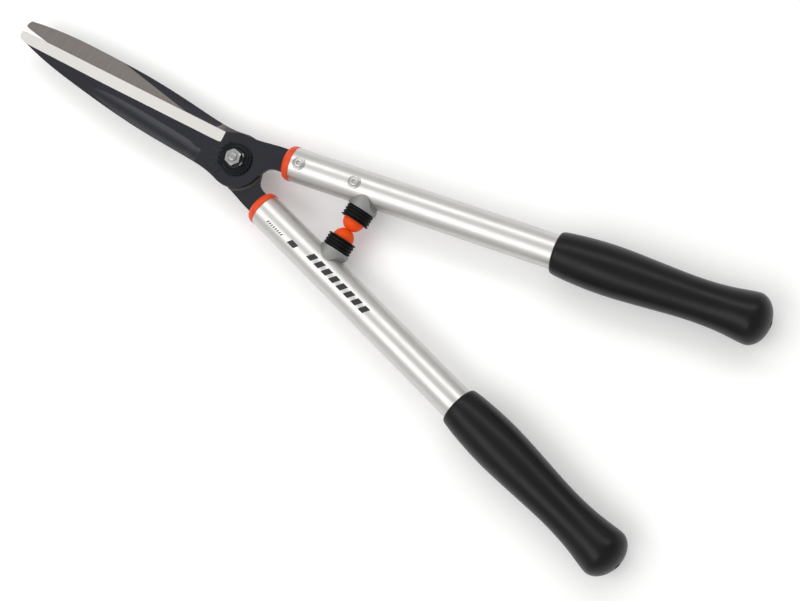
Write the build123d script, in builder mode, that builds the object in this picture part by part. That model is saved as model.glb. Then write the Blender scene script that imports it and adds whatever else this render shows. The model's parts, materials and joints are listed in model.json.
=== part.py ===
"""Long-handled hedge shears: two forged blades on one pivot, each with a tube handle, grip and buffer."""
from build123d import *
from math import cos, hypot, radians, sin, sqrt, tan
import os

# Driving dimensions, millimetres and degrees. The two halves are one design turned over about the X axis.
HANDLE_ANGLE = 12.4        # each handle's axis off the centre line, shears closed
AXIS_OFFSET = 13.0         # from the pivot square to each handle's axis
TUBE_START = 50.0          # stations are measured along a handle's axis from the pivot's foot on it
GRIP_START = 292.0
GRIP_END = 480.0
TUBE_RADIUS = 15.0
TUBE_WALL = 1.5
BULB_RADIUS = 22.5         # fattest part of the grip, which the shears lie on
BULB_STATION = 463.5
BLADE_REACH = 239.6        # pivot to blade tip
BLADE_THICKNESS = 4.0
FACE_GAP = 0.2             # each blade's inner face off the plane between the blades
SLIP = 0.05                # gap between pieces that are fixed to each other
PIVOT_SHOULDER = 6.0       # radius of the bolt's bearing shoulder
RUNNING_GAP = 0.05         # radial clearance of the blade's bush on that shoulder

# Blade outline, measured from the pivot.
HEEL = (22.0, -16.1)       # inner end of the cutting edge
EDGE_ANGLE = 4.8           # cutting edge off the centre line
BEVEL_WIDTH = 10.6
BEVEL_OVERRUN = 6.0
HEEL_LAND = 1.0            # height of the bevel's foot above the plane between the blades, at the heel
TIP_LAND = 1.05            # and at the tip
DISC_RADIUS = 24.5         # round of the blade around the pivot
PAD_RADIUS = 26.5          # ground bearing pad on the lower blade
PAD_RISE = 0.12
TIP_THICKNESS = 2.6
TAPER_START = 60.0
FULLER_LINE = 14.6         # centre line of the long hollow in the outer face
FULLER_LIFT = 24.0         # height of the hollow's axis of turning above that face
FULLER_DEPTH = 1.2
FULLER_START = 31.0
FULLER_END = 155.0
HOLLOW_LINE = 22.0         # the same for the hollow in the inner face
HOLLOW_LIFT = 70.0
HOLLOW_WIDTH = 12.9        # half its width, if it weren't rounded at its start
HOLLOW_START = 30.0
HOLLOW_ROUND = 15.0
HOLLOW_END = 155.0
TANG_HALF = 10.2           # half the tang's width at the collar
TANG_END_HALF = 7.0
TANG_END = 117.0

# Tang, collar and their screws.
COLLAR_FRONT = 42.2
COLLAR_RADIUS = 15.4
SPIGOT_END = 116.0
SCREW_STATIONS = (58.3, 110.6)
SCREW_RADIUS = 3.0
SCREW_HEAD_RADIUS = 5.4
SCREW_HEAD_HEIGHT = 3.2
SCREW_CROWN_RADIUS = 2.6
SCREW_LENGTH = 16.5
SCREW_SEAT = 14.0          # height of the spot face above the tube's axis
SOCKET_RADIUS = 2.3        # driving socket, across its corners
SOCKET_DEPTH = 2.0

# Grip.
BORE_END = 464.0
HANG_HOLE_RADIUS = 2.75

# Buffers, measured from the pivot and from the centre line.
BUFFER_STATION = -119.1
BALL_RADIUS = 9.4
BALL_CENTRE = 8.6
BALL_FACE = 0.15
BALL_BACK = 15.5
CUP_FRONT = 9.0
CUP_BACK = 20.2
CUP_RADIUS = 12.1
CUP_LIP_RADIUS = 13.0
CUP_RIBS = 3
CUP_RIB_RADIUS = 1.2
CUP_BORE = 9.7
CUP_SPIGOT_RADIUS = 10.7
BOSS_RADIUS = 13.15
BOSS_POCKET = 21.7
BOSS_FLAT_START = 24.7     # where the boss's two flats begin, from the centre line
BOSS_FLAT_LEAN = 0.42
BOSS_SCREW_RADIUS = 2.5
BOSS_SCREW_HEAD = 4.2
BOSS_SCREW_HEAD_HEIGHT = 3.4

# Pivot stack, heights above the plane between the blades.
BOLT_HEAD_RADIUS = 9.5
BOLT_HEAD_HEIGHT = 3.9
NECK_SIDE = 10.0
THREAD_RADIUS = 4.0
SHOULDER_TOP = 4.8
BUSH_RADIUS = 8.0
COVER_BOTTOM = 4.5
COVER_STEP = 6.6
COVER_TOP = 7.8
COVER_RADIUS = 14.6
COVER_CROWN_RADIUS = 11.8
COVER_SCALLOPS = 18
SCALLOP_RADIUS = 1.5
COVER_FINS = 6             # raised fins on the side towards the blades' tips
FIN_PITCH = 15.0           # degrees
FIN_LENGTH = 5.4
FIN_WIDTH = 1.9
FIN_RISE = 0.8             # above the cover's step
FIN_BOTTOM = 5.4           # clear of the blade's toothed sector
SPRING_RADIUS = 9.0
WASHER_TOP = 8.5
WASHER_RADIUS = 8.0
TAB_TURNS = (171, 225)     # where the washer's two tabs are bent up against the nut
TAB_WIDTH = 3.4
TAB_HEIGHT = 3.2
NUT_TOP = 15.0
NUT_FLATS = 13.0
BOLT_TOP = 16.8

angle = radians(HANDLE_ANGLE)
slope = radians(EDGE_ANGLE)

# The origin is at the centre of the footprint, on the surface that the grips lie on.
dome_length = GRIP_END - BULB_STATION
tail_x = AXIS_OFFSET * sin(angle) - BULB_STATION * cos(angle)
tail_x -= hypot(dome_length * cos(angle), BULB_RADIUS * sin(angle))
PIVOT = (-(BLADE_REACH + tail_x) / 2, 0, BULB_RADIUS)

# Each half's own frame: its blade lies on the +Z side and its handle runs to -X and -Y.
HALVES = {
    "upper": Plane(origin=PIVOT, x_dir=(1, 0, 0), z_dir=(0, 0, 1)),
    "lower": Plane(origin=PIVOT, x_dir=(1, 0, 0), z_dir=(0, 0, -1)),
}

os.makedirs("parts", exist_ok=True)


def save(part, label):
    """Label a finished piece and write it."""
    part.label = label
    export_step(part, f"parts/{label}.step")


def axis_point(base, station, aside=0.0, height=0.0):
    """Point beside a half's handle axis; aside is away from the other handle."""
    x = (AXIS_OFFSET + aside) * sin(angle) - station * cos(angle)
    y = -(AXIS_OFFSET + aside) * cos(angle) - station * sin(angle)
    return base.from_local_coords(Vector(x, y, height))


def flat_point(station, aside=0.0):
    """The same point as a pair in the half's own flat plane."""
    x = (AXIS_OFFSET + aside) * sin(angle) - station * cos(angle)
    y = -(AXIS_OFFSET + aside) * cos(angle) - station * sin(angle)
    return (x, y)


def cross_plane(base, station):
    """Plane square to the handle's axis, z to the grip and x out of the blade's outer face."""
    start = axis_point(base, station)
    return Plane(origin=start, x_dir=base.z_dir, z_dir=axis_point(base, station + 1) - start)


def profile_plane(base):
    """Plane through the handle's axis: x is the station and y the radius of a turned profile."""
    start = axis_point(base, 0)
    along = axis_point(base, 1) - start
    return Plane(origin=start, x_dir=along, z_dir=along.cross(base.z_dir))


def handle_axis(base):
    start = axis_point(base, 0)
    return Axis(start, axis_point(base, 1) - start)


def edge_plane(base, distance):
    """Plane square to the cutting edge, this far from the heel: x runs in from the edge, y is up."""
    x = HEEL[0] + distance * cos(slope)
    y = HEEL[1] + distance * sin(slope)
    start = base.from_local_coords(Vector(x, y, 0))
    ahead = base.from_local_coords(Vector(x + cos(slope), y + sin(slope), 0)) - start
    inward = base.from_local_coords(Vector(x - sin(slope), y + cos(slope), 0)) - start
    return Plane(origin=start, x_dir=inward, z_dir=ahead)


def buffer_plane(base, distance):
    """Plane square to a buffer's axis, this far from the centre line, z towards the other handle."""
    origin = base.from_local_coords(Vector(BUFFER_STATION, -distance, 0))
    ahead = base.from_local_coords(Vector(BUFFER_STATION, 1 - distance, 0)) - origin
    return Plane(origin=origin, x_dir=base.z_dir, z_dir=ahead)


def buffer_profile(base):
    """Plane through a buffer's axis: x is the distance from the centre line and y the radius."""
    origin = base.from_local_coords(Vector(BUFFER_STATION, 0, 0))
    away = base.from_local_coords(Vector(BUFFER_STATION, -1, 0)) - origin
    return Plane(origin=origin, x_dir=away, z_dir=away.cross(base.z_dir))


def buffer_axis(base):
    plane = buffer_profile(base)
    return Axis(plane.origin, plane.x_dir)


def blade_outline():
    """Blade, pivot round and tang in one closed line, in the half's own flat plane."""
    edge_end = (BLADE_REACH - 6, HEEL[1] + (BLADE_REACH - 6 - HEEL[0]) * tan(slope))
    tip = (BLADE_REACH, edge_end[1] + 1.4)
    nose = (BLADE_REACH - 2.6, 9.2)
    disc_top = (DISC_RADIUS * cos(radians(75)), DISC_RADIUS * sin(radians(75)))
    disc_back = (DISC_RADIUS * cos(radians(166)), DISC_RADIUS * sin(radians(166)))
    disc_low = (DISC_RADIUS * cos(radians(130)), DISC_RADIUS * sin(radians(130)))
    Line(HEEL, edge_end)
    ThreePointArc(edge_end, (BLADE_REACH - 2.6, edge_end[1] + 0.45), tip)
    ThreePointArc(tip, (BLADE_REACH - 0.6, 6.6), nose)
    back = ((205, 15.2), (160, 19.5), (95, 22.2), (40, 20.9))
    Spline(nose, *back, disc_top, tangents=((-1, 0.22), (-1, 0.27)))
    ThreePointArc(disc_top, disc_low, disc_back)
    Spline(
        disc_back,
        (-26.3, -1.4),
        (-28.6, -6.6),
        flat_point(40, -TANG_HALF),
        tangents=((-0.24, -0.97), (-0.98, -0.21)),
    )
    Polyline(
        flat_point(40, -TANG_HALF),
        flat_point(TUBE_START, -TANG_HALF),
        flat_point(TANG_END, -TANG_END_HALF),
        flat_point(TANG_END, TANG_END_HALF),
        flat_point(TUBE_START, TANG_HALF),
        flat_point(36, TANG_HALF),
    )
    Spline(flat_point(36, TANG_HALF), flat_point(8, 9.4), (12.6, -20.4), tangents=((0.98, 0.21), (0.9, 0.5)))
    Line((12.6, -20.4), HEEL)


def hollow_half_width(x):
    """Half the inner hollow's width this far from the pivot: round at its start, running out to a point."""
    rounding = sqrt(min(1, (x - HOLLOW_START) / HOLLOW_ROUND))
    return rounding * HOLLOW_WIDTH * (HOLLOW_END - x) / (HOLLOW_END - HOLLOW_START)


def bevel_section(land, crest):
    """What the bevel's grinding takes away, from this height at the cutting edge up to the crest."""
    rise = (crest - land) / BEVEL_WIDTH
    Polyline(
        (-BEVEL_OVERRUN, land - BEVEL_OVERRUN * rise),
        (BEVEL_WIDTH, crest),
        (BEVEL_WIDTH, 2 * BLADE_THICKNESS),
        (-BEVEL_OVERRUN, 2 * BLADE_THICKNESS),
        close=True,
    )


def make_blade(half, base):
    outer = FACE_GAP + BLADE_THICKNESS
    side = Plane(origin=base.origin, x_dir=base.x_dir, z_dir=base.x_dir.cross(base.z_dir))
    with BuildPart() as blade:
        with BuildSketch(base.offset(FACE_GAP)):
            with BuildLine():
                blade_outline()
            make_face()
        extrude(amount=BLADE_THICKNESS)
        # The back thins towards the tip.
        with BuildSketch(side):
            with BuildLine():
                Polyline(
                    (TAPER_START, outer),
                    (BLADE_REACH + 5, FACE_GAP + TIP_THICKNESS),
                    (BLADE_REACH + 5, outer + 4),
                    (TAPER_START, outer + 4),
                    close=True,
                )
            make_face()
        extrude(amount=60, both=True, mode=Mode.SUBTRACT)
        # The cutting bevel, ground off the outer face from the heel to past the tip.
        with BuildSketch(edge_plane(base, 0)):
            with BuildLine():
                bevel_section(HEEL_LAND, outer)
            make_face()
        with BuildSketch(edge_plane(base, BLADE_REACH)):
            with BuildLine():
                bevel_section(TIP_LAND, FACE_GAP + TIP_THICKNESS + 0.1)
            make_face()
        loft(ruled=True, mode=Mode.SUBTRACT)
        # The long hollow in the outer face: round at the pivot end, running out to a point.
        fuller_origin = base.from_local_coords(Vector(0, FULLER_LINE, outer + FULLER_LIFT))
        with BuildSketch(Plane(origin=fuller_origin, x_dir=base.x_dir, z_dir=side.z_dir)):
            with BuildLine():
                Line((FULLER_START, 0), (FULLER_START, FULLER_LIFT - 0.6))
                Spline(
                    (FULLER_START, FULLER_LIFT - 0.6),
                    (FULLER_START + 5, FULLER_LIFT + 0.7),
                    (FULLER_START + 16, FULLER_LIFT + FULLER_DEPTH),
                    tangents=((0.3, 1), (1, 0)),
                )
                Spline(
                    (FULLER_START + 16, FULLER_LIFT + FULLER_DEPTH),
                    (100, FULLER_LIFT + FULLER_DEPTH + 0.15),
                    (FULLER_END, FULLER_LIFT + 0.7),
                    tangents=((1, 0), (1, -0.02)),
                )
                Polyline((FULLER_END, FULLER_LIFT + 0.7), (FULLER_END, 0), (FULLER_START, 0))
            make_face()
        revolve(axis=Axis(fuller_origin, base.x_dir), mode=Mode.SUBTRACT)
        # The inner face is hollowed along its back, so only the edge and the tip bear.
        widest = HOLLOW_START + HOLLOW_ROUND
        hollow_front = (HOLLOW_START, HOLLOW_START + 2, HOLLOW_START + 6, widest)
        hollow_back = (widest, widest + 35, widest + 75, HOLLOW_END)
        hollow_origin = base.from_local_coords(Vector(0, HOLLOW_LINE, FACE_GAP - HOLLOW_LIFT))
        with BuildSketch(Plane(origin=hollow_origin, x_dir=base.x_dir, z_dir=side.z_dir)):
            with BuildLine():
                Spline(*[(x, hypot(HOLLOW_LIFT, hollow_half_width(x))) for x in hollow_front])
                Spline(*[(x, hypot(HOLLOW_LIFT, hollow_half_width(x))) for x in hollow_back])
                Polyline(
                    (HOLLOW_END, HOLLOW_LIFT),
                    (HOLLOW_END, 0),
                    (HOLLOW_START, 0),
                    (HOLLOW_START, HOLLOW_LIFT),
                )
            make_face()
        revolve(axis=Axis(hollow_origin, base.x_dir), mode=Mode.SUBTRACT)
        # Threaded holes in the tang for its two screws.
        with BuildSketch(base):
            for station in SCREW_STATIONS:
                with Locations(flat_point(station)):
                    Circle(SCREW_RADIUS + SLIP)
        extrude(amount=outer + 1, mode=Mode.SUBTRACT)
        if half == "upper":
            # Round bore for the bush, and the toothed sector that the cover's pawl drops into.
            with BuildSketch(base):
                Circle(BUSH_RADIUS + SLIP)
            extrude(amount=outer + 1, mode=Mode.SUBTRACT)
            with BuildSketch(base.offset(outer - 0.2)):
                with PolarLocations(0, 6, start_angle=-32, angular_range=92, endpoint=True):
                    with Locations((19.6, 0)):
                        SlotOverall(7.6, 1.5)
            extrude(amount=0.9)
        else:
            # Ground bearing pad and square hole that keeps the bolt from turning.
            with BuildSketch(base.offset(FACE_GAP - PAD_RISE)):
                with BuildLine():
                    blade_outline()
                make_face()
                Circle(PAD_RADIUS, mode=Mode.INTERSECT)
            extrude(amount=PAD_RISE)
            with BuildSketch(base):
                Rectangle(NECK_SIDE + 2 * SLIP, NECK_SIDE + 2 * SLIP)
            extrude(amount=outer + 1, mode=Mode.SUBTRACT)
    save(blade.part, f"{half}_blade")


def make_tube(half, base):
    with BuildPart() as tube:
        with BuildSketch(cross_plane(base, TUBE_START)):
            Circle(TUBE_RADIUS)
            Circle(TUBE_RADIUS - TUBE_WALL, mode=Mode.SUBTRACT)
        extrude(amount=BORE_END - 1 - TUBE_START)
        for station in SCREW_STATIONS:
            with BuildSketch(Plane(axis_point(base, station), x_dir=base.x_dir, z_dir=base.z_dir)):
                Circle(SCREW_RADIUS + SLIP)
            extrude(amount=TUBE_RADIUS + 1, mode=Mode.SUBTRACT)
            seat = axis_point(base, station, height=SCREW_SEAT)
            with BuildSketch(Plane(seat, x_dir=base.x_dir, z_dir=base.z_dir)):
                Circle(SCREW_HEAD_RADIUS + 0.25)
            extrude(amount=TUBE_RADIUS, mode=Mode.SUBTRACT)
        with BuildSketch(buffer_plane(base, 2 * TUBE_RADIUS + 8)):
            Circle(BOSS_SCREW_RADIUS + SLIP)
        extrude(amount=TUBE_RADIUS + 5, mode=Mode.SUBTRACT)
    save(tube.part, f"{half}_tube")


def make_collar(half, base):
    spigot_radius = TUBE_RADIUS - TUBE_WALL - SLIP
    with BuildPart() as collar:
        with BuildSketch(profile_plane(base)):
            with BuildLine():
                Line((COLLAR_FRONT, 0), (COLLAR_FRONT, 10.6))
                ThreePointArc((COLLAR_FRONT, 10.6), (44.2, 14.0), (47.6, COLLAR_RADIUS))
                Line((47.6, COLLAR_RADIUS), (TUBE_START - SLIP, COLLAR_RADIUS))
                Polyline(
                    (TUBE_START - SLIP, COLLAR_RADIUS),
                    (TUBE_START - SLIP, spigot_radius),
                    (SPIGOT_END, spigot_radius),
                    (SPIGOT_END, 0),
                    (COLLAR_FRONT, 0),
                )
            make_face()
        revolve(axis=handle_axis(base))
        slot_centre = FACE_GAP + BLADE_THICKNESS / 2
        with BuildSketch(cross_plane(base, COLLAR_FRONT - 1)):
            with Locations((slot_centre, 0)):
                Rectangle(BLADE_THICKNESS + 2 * SLIP, 2 * (TANG_HALF + SLIP))
        extrude(amount=SPIGOT_END, mode=Mode.SUBTRACT)
        for station in SCREW_STATIONS:
            with BuildSketch(Plane(axis_point(base, station, height=-3), x_dir=base.x_dir, z_dir=base.z_dir)):
                Circle(SCREW_RADIUS + SLIP)
            extrude(amount=TUBE_RADIUS + 4, mode=Mode.SUBTRACT)
    save(collar.part, f"{half}_collar")


def make_tang_screws(half, base):
    with BuildPart() as screws:
        for station in SCREW_STATIONS:
            seat_point = axis_point(base, station, height=SCREW_SEAT + SLIP)
            seat = Plane(seat_point, x_dir=base.x_dir, z_dir=base.z_dir)
            side = Plane(origin=seat.origin, x_dir=base.x_dir, z_dir=base.x_dir.cross(base.z_dir))
            with BuildSketch(side):
                with BuildLine():
                    Polyline(
                        (0, SCREW_HEAD_HEIGHT),
                        (0, -SCREW_LENGTH),
                        (SCREW_RADIUS, -SCREW_LENGTH),
                        (SCREW_RADIUS, 0),
                        (SCREW_HEAD_RADIUS, 0),
                        (SCREW_HEAD_RADIUS, 0.9),
                    )
                    crown = (SCREW_CROWN_RADIUS, SCREW_HEAD_HEIGHT)
                    ThreePointArc((SCREW_HEAD_RADIUS, 0.9), (4.4, 2.5), crown)
                    Line(crown, (0, SCREW_HEAD_HEIGHT))
                make_face()
            revolve(axis=Axis(seat.origin, base.z_dir))
            with BuildSketch(seat.offset(SCREW_HEAD_HEIGHT - SOCKET_DEPTH)):
                RegularPolygon(SOCKET_RADIUS, 6)
            extrude(amount=2 * SOCKET_DEPTH, mode=Mode.SUBTRACT)
    save(screws.part, f"{half}_tang_screws")


def make_grip(half, base):
    front = GRIP_START
    with BuildPart() as grip:
        with BuildSketch(profile_plane(base)):
            with BuildLine():
                Line((front, 0), (front, 16.2))
                ThreePointArc((front, 16.2), (front + 1.0, 17.8), (front + 3.2, 18.6))
                Spline(
                    (front + 3.2, 18.6),
                    (front + 20, 20.5),
                    (front + 52, 21.7),
                    (front + 89, 19.8),
                    (front + 121, 18.1),
                    (front + 150, 19.3),
                    (BULB_STATION, BULB_RADIUS),
                    tangents=((1, 0.2), (1, 0)),
                )
                EllipticalCenterArc((BULB_STATION, 0), dome_length, BULB_RADIUS, start_angle=0, arc_size=90)
                Line((GRIP_END, 0), (front, 0))
            make_face()
        revolve(axis=handle_axis(base))
        with BuildSketch(cross_plane(base, front)):
            Circle(TUBE_RADIUS + SLIP)
        extrude(amount=BORE_END - front, mode=Mode.SUBTRACT)
        with BuildSketch(cross_plane(base, BORE_END - 1)):
            Circle(HANG_HOLE_RADIUS)
        extrude(amount=30, mode=Mode.SUBTRACT)
    save(grip.part, f"{half}_grip")


def make_buffer(half, base):
    """Boss saddled on the tube, ribbed cup, sprung ball and the pad behind it, all on one axis."""
    with BuildPart() as boss:
        with BuildSketch(buffer_plane(base, CUP_BACK + SLIP)):
            Circle(BOSS_RADIUS)
        extrude(amount=-(2 * TUBE_RADIUS - 12))
        # Two flats on the grip side, meeting in a ridge.
        corner = base.from_local_coords(Vector(BUFFER_STATION - BOSS_RADIUS, -BOSS_FLAT_START, 0))
        for lean in (-BOSS_FLAT_LEAN, BOSS_FLAT_LEAN):
            side = Vector(BUFFER_STATION - BOSS_RADIUS - 1, -BOSS_FLAT_START - 0.6, lean)
            out = base.from_local_coords(side)
            with BuildSketch(Plane(origin=corner, x_dir=base.z_dir, z_dir=out - corner)):
                Rectangle(4 * BOSS_RADIUS, 4 * BOSS_RADIUS)
            extrude(amount=BOSS_RADIUS, mode=Mode.SUBTRACT)
        with BuildSketch(cross_plane(base, TUBE_START)):
            Circle(TUBE_RADIUS + SLIP)
        extrude(amount=2 * SPIGOT_END, mode=Mode.SUBTRACT)
        with BuildSketch(buffer_plane(base, CUP_BACK)):
            Circle(CUP_SPIGOT_RADIUS + SLIP)
        extrude(amount=-(BOSS_POCKET - CUP_BACK), mode=Mode.SUBTRACT)
        with BuildSketch(buffer_plane(base, BOSS_POCKET - 1)):
            Circle(BOSS_SCREW_RADIUS + SLIP)
        extrude(amount=-10, mode=Mode.SUBTRACT)
    save(boss.part, f"{half}_boss")
    with BuildPart() as cup:
        with BuildSketch(buffer_profile(base)):
            with BuildLine():
                Polyline(
                    (CUP_FRONT, CUP_BORE),
                    (CUP_FRONT, CUP_LIP_RADIUS),
                    (CUP_FRONT + 1.1, CUP_LIP_RADIUS),
                    (CUP_FRONT + 1.5, CUP_RADIUS - 0.5),
                    (CUP_BACK, CUP_RADIUS - 0.5),
                    (CUP_BACK, CUP_SPIGOT_RADIUS),
                    (BOSS_POCKET - SLIP, CUP_SPIGOT_RADIUS),
                    (BOSS_POCKET - SLIP, CUP_BORE),
                    close=True,
                )
            make_face()
            # Rounded ribs between the lip and the boss.
            for rib in range(CUP_RIBS):
                with Locations((CUP_FRONT + 3.2 + 2.9 * rib, CUP_RADIUS - 0.7)):
                    Circle(CUP_RIB_RADIUS)
            with Locations((CUP_FRONT + 6, CUP_BORE / 2)):
                Rectangle(30, CUP_BORE, mode=Mode.SUBTRACT)
        revolve(axis=buffer_axis(base))
    save(cup.part, f"{half}_cup")
    with BuildPart() as ball:
        with BuildSketch(buffer_profile(base)):
            reach = BALL_CENTRE - BALL_FACE
            face_radius = sqrt(BALL_RADIUS ** 2 - reach ** 2)
            with BuildLine():
                Line((BALL_FACE, 0), (BALL_FACE, face_radius))
                ThreePointArc(
                    (BALL_FACE, face_radius),
                    (BALL_CENTRE - BALL_RADIUS * cos(radians(60)), BALL_RADIUS * sin(radians(60))),
                    (BALL_CENTRE, BALL_RADIUS),
                )
                Polyline((BALL_CENTRE, BALL_RADIUS), (BALL_BACK, BALL_RADIUS), (BALL_BACK, 0), (BALL_FACE, 0))
            make_face()
        revolve(axis=buffer_axis(base))
    save(ball.part, f"{half}_ball")
    with BuildPart() as pad:
        with BuildSketch(buffer_plane(base, BALL_BACK + SLIP)):
            Circle(CUP_BORE - 0.6)
        extrude(amount=-(BOSS_POCKET - BALL_BACK - 2 * SLIP))
    save(pad.part, f"{half}_pad")
    # The boss screw's head lies inside the tube, so it was driven before the collar went in.
    inner_wall = (AXIS_OFFSET - TUBE_RADIUS + TUBE_WALL) / cos(angle) - BUFFER_STATION * tan(angle)
    with BuildPart() as screw:
        with BuildSketch(buffer_plane(base, BOSS_POCKET + 0.1)):
            Circle(BOSS_SCREW_RADIUS)
        extrude(amount=-(inner_wall + 1 - BOSS_POCKET))
        with BuildSketch(buffer_plane(base, inner_wall + 1)):
            Circle(BOSS_SCREW_HEAD)
        extrude(amount=-BOSS_SCREW_HEAD_HEIGHT)
        with BuildSketch(buffer_plane(base, inner_wall + 1.1 + BOSS_SCREW_HEAD_HEIGHT)):
            RegularPolygon(SOCKET_RADIUS, 6)
        extrude(amount=SOCKET_DEPTH, mode=Mode.SUBTRACT)
    save(screw.part, f"{half}_boss_screw")


def make_pivot():
    base = HALVES["upper"]
    side = Plane(origin=base.origin, x_dir=(1, 0, 0), z_dir=(0, -1, 0))
    axis = Axis(base.origin, base.z_dir)
    outer = FACE_GAP + BLADE_THICKNESS
    pad_gap = FACE_GAP - PAD_RISE - SLIP
    with BuildPart() as bolt:
        # Domed head, square neck, bearing shoulder, then the thread up to its domed end.
        with BuildSketch(side):
            with BuildLine():
                Line((0, -outer - BOLT_HEAD_HEIGHT), (1.5, -outer - BOLT_HEAD_HEIGHT))
                ThreePointArc(
                    (1.5, -outer - BOLT_HEAD_HEIGHT),
                    (6.9, -outer - BOLT_HEAD_HEIGHT + 1.3),
                    (BOLT_HEAD_RADIUS, -outer - SLIP),
                )
                Polyline(
                    (BOLT_HEAD_RADIUS, -outer - SLIP),
                    (0, -outer - SLIP),
                    (0, -outer - BOLT_HEAD_HEIGHT),
                )
            make_face()
        revolve(axis=axis)
        with BuildSketch(base.offset(-outer - SLIP)):
            Rectangle(NECK_SIDE, NECK_SIDE)
        extrude(amount=outer + SLIP - pad_gap)
        with BuildSketch(base.offset(-pad_gap)):
            Circle(PIVOT_SHOULDER)
        extrude(amount=SHOULDER_TOP + pad_gap)
        with BuildSketch(base.offset(SHOULDER_TOP)):
            Circle(THREAD_RADIUS)
        extrude(amount=BOLT_TOP - SHOULDER_TOP)
        fillet(bolt.edges().sort_by(Axis.Z)[-1], radius=1.8)
    save(bolt.part, "pivot_bolt")
    with BuildPart() as bush:
        with BuildSketch(base.offset(FACE_GAP)):
            Circle(BUSH_RADIUS)
            Circle(PIVOT_SHOULDER + RUNNING_GAP, mode=Mode.SUBTRACT)
        extrude(amount=BLADE_THICKNESS)
    save(bush.part, "pivot_bush")
    with BuildPart() as spring:
        with BuildSketch(side):
            with BuildLine():
                Polyline(
                    (THREAD_RADIUS + 0.2, SHOULDER_TOP + 0.75),
                    (SPRING_RADIUS, SHOULDER_TOP + 0.05),
                    (SPRING_RADIUS, SHOULDER_TOP + 0.75),
                    (THREAD_RADIUS + 0.2, SHOULDER_TOP + 1.45),
                    close=True,
                )
            make_face()
        revolve(axis=axis)
    save(spring.part, "disc_spring")
    with BuildPart() as cover:
        with BuildSketch(side):
            with BuildLine():
                Polyline(
                    (THREAD_RADIUS + 0.1, COVER_TOP),
                    (COVER_CROWN_RADIUS - 0.6, COVER_TOP),
                    (COVER_CROWN_RADIUS, COVER_TOP - 0.6),
                    (COVER_CROWN_RADIUS, COVER_STEP),
                    (COVER_RADIUS - 0.7, COVER_STEP),
                    (COVER_RADIUS, COVER_STEP - 0.7),
                    (COVER_RADIUS, COVER_BOTTOM),
                    (SPRING_RADIUS + 0.4, COVER_BOTTOM),
                    (SPRING_RADIUS + 0.4, COVER_STEP - 0.2),
                    (THREAD_RADIUS + 0.1, COVER_STEP - 0.2),
                    close=True,
                )
            make_face()
        revolve(axis=axis)
        # Scallops round the rim, and the pawl that points along the blade.
        with BuildSketch(base.offset(COVER_BOTTOM)):
            with PolarLocations(COVER_RADIUS + 0.9, COVER_SCALLOPS, 60, 240, endpoint=True):
                Circle(SCALLOP_RADIUS)
        extrude(amount=COVER_STEP - COVER_BOTTOM, mode=Mode.SUBTRACT)
        sector = FIN_PITCH * (COVER_FINS - 1)
        with BuildSketch(base.offset(FIN_BOTTOM)):
            with PolarLocations(COVER_RADIUS - 1, COVER_FINS, -sector / 2, sector, endpoint=True):
                Rectangle(FIN_LENGTH, FIN_WIDTH)
        extrude(amount=COVER_STEP + FIN_RISE - FIN_BOTTOM)
    save(cover.part, "pivot_cover")
    with BuildPart() as washer:
        with BuildSketch(base.offset(COVER_TOP)):
            Circle(WASHER_RADIUS)
            for turn in TAB_TURNS:
                with Locations(Location((8.3 * cos(radians(turn)), 8.3 * sin(radians(turn))), turn)):
                    Rectangle(1.4, TAB_WIDTH)
            Circle(THREAD_RADIUS + 0.1, mode=Mode.SUBTRACT)
        extrude(amount=WASHER_TOP - COVER_TOP)
        with BuildSketch(base.offset(WASHER_TOP)):
            for turn in TAB_TURNS:
                with Locations(Location((8.55 * cos(radians(turn)), 8.55 * sin(radians(turn))), turn)):
                    Rectangle(0.8, TAB_WIDTH)
        extrude(amount=TAB_HEIGHT)
    save(washer.part, "lock_washer")
    with BuildPart() as nut:
        with BuildSketch(base.offset(WASHER_TOP)):
            RegularPolygon(NUT_FLATS / 2, 6, major_radius=False, rotation=-10)
            Circle(THREAD_RADIUS + SLIP, mode=Mode.SUBTRACT)
        extrude(amount=NUT_TOP - WASHER_TOP)
        # Both ends of the nut are turned to a 30 degree chamfer.
        with BuildSketch(side):
            with BuildLine():
                Polyline(
                    (0, WASHER_TOP),
                    (6.4, WASHER_TOP),
                    (8.0, WASHER_TOP + 0.9),
                    (8.0, NUT_TOP - 0.9),
                    (6.4, NUT_TOP),
                    (0, NUT_TOP),
                    close=True,
                )
            make_face()
        revolve(axis=axis, mode=Mode.INTERSECT)
    save(nut.part, "pivot_nut")


for half, base in HALVES.items():
    make_blade(half, base)
    make_tube(half, base)
    make_collar(half, base)
    make_tang_screws(half, base)
    make_grip(half, base)
    make_buffer(half, base)
make_pivot()
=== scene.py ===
"""Looks for a pair of long-handled hedge shears, laid out as an add-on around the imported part."""

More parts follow.
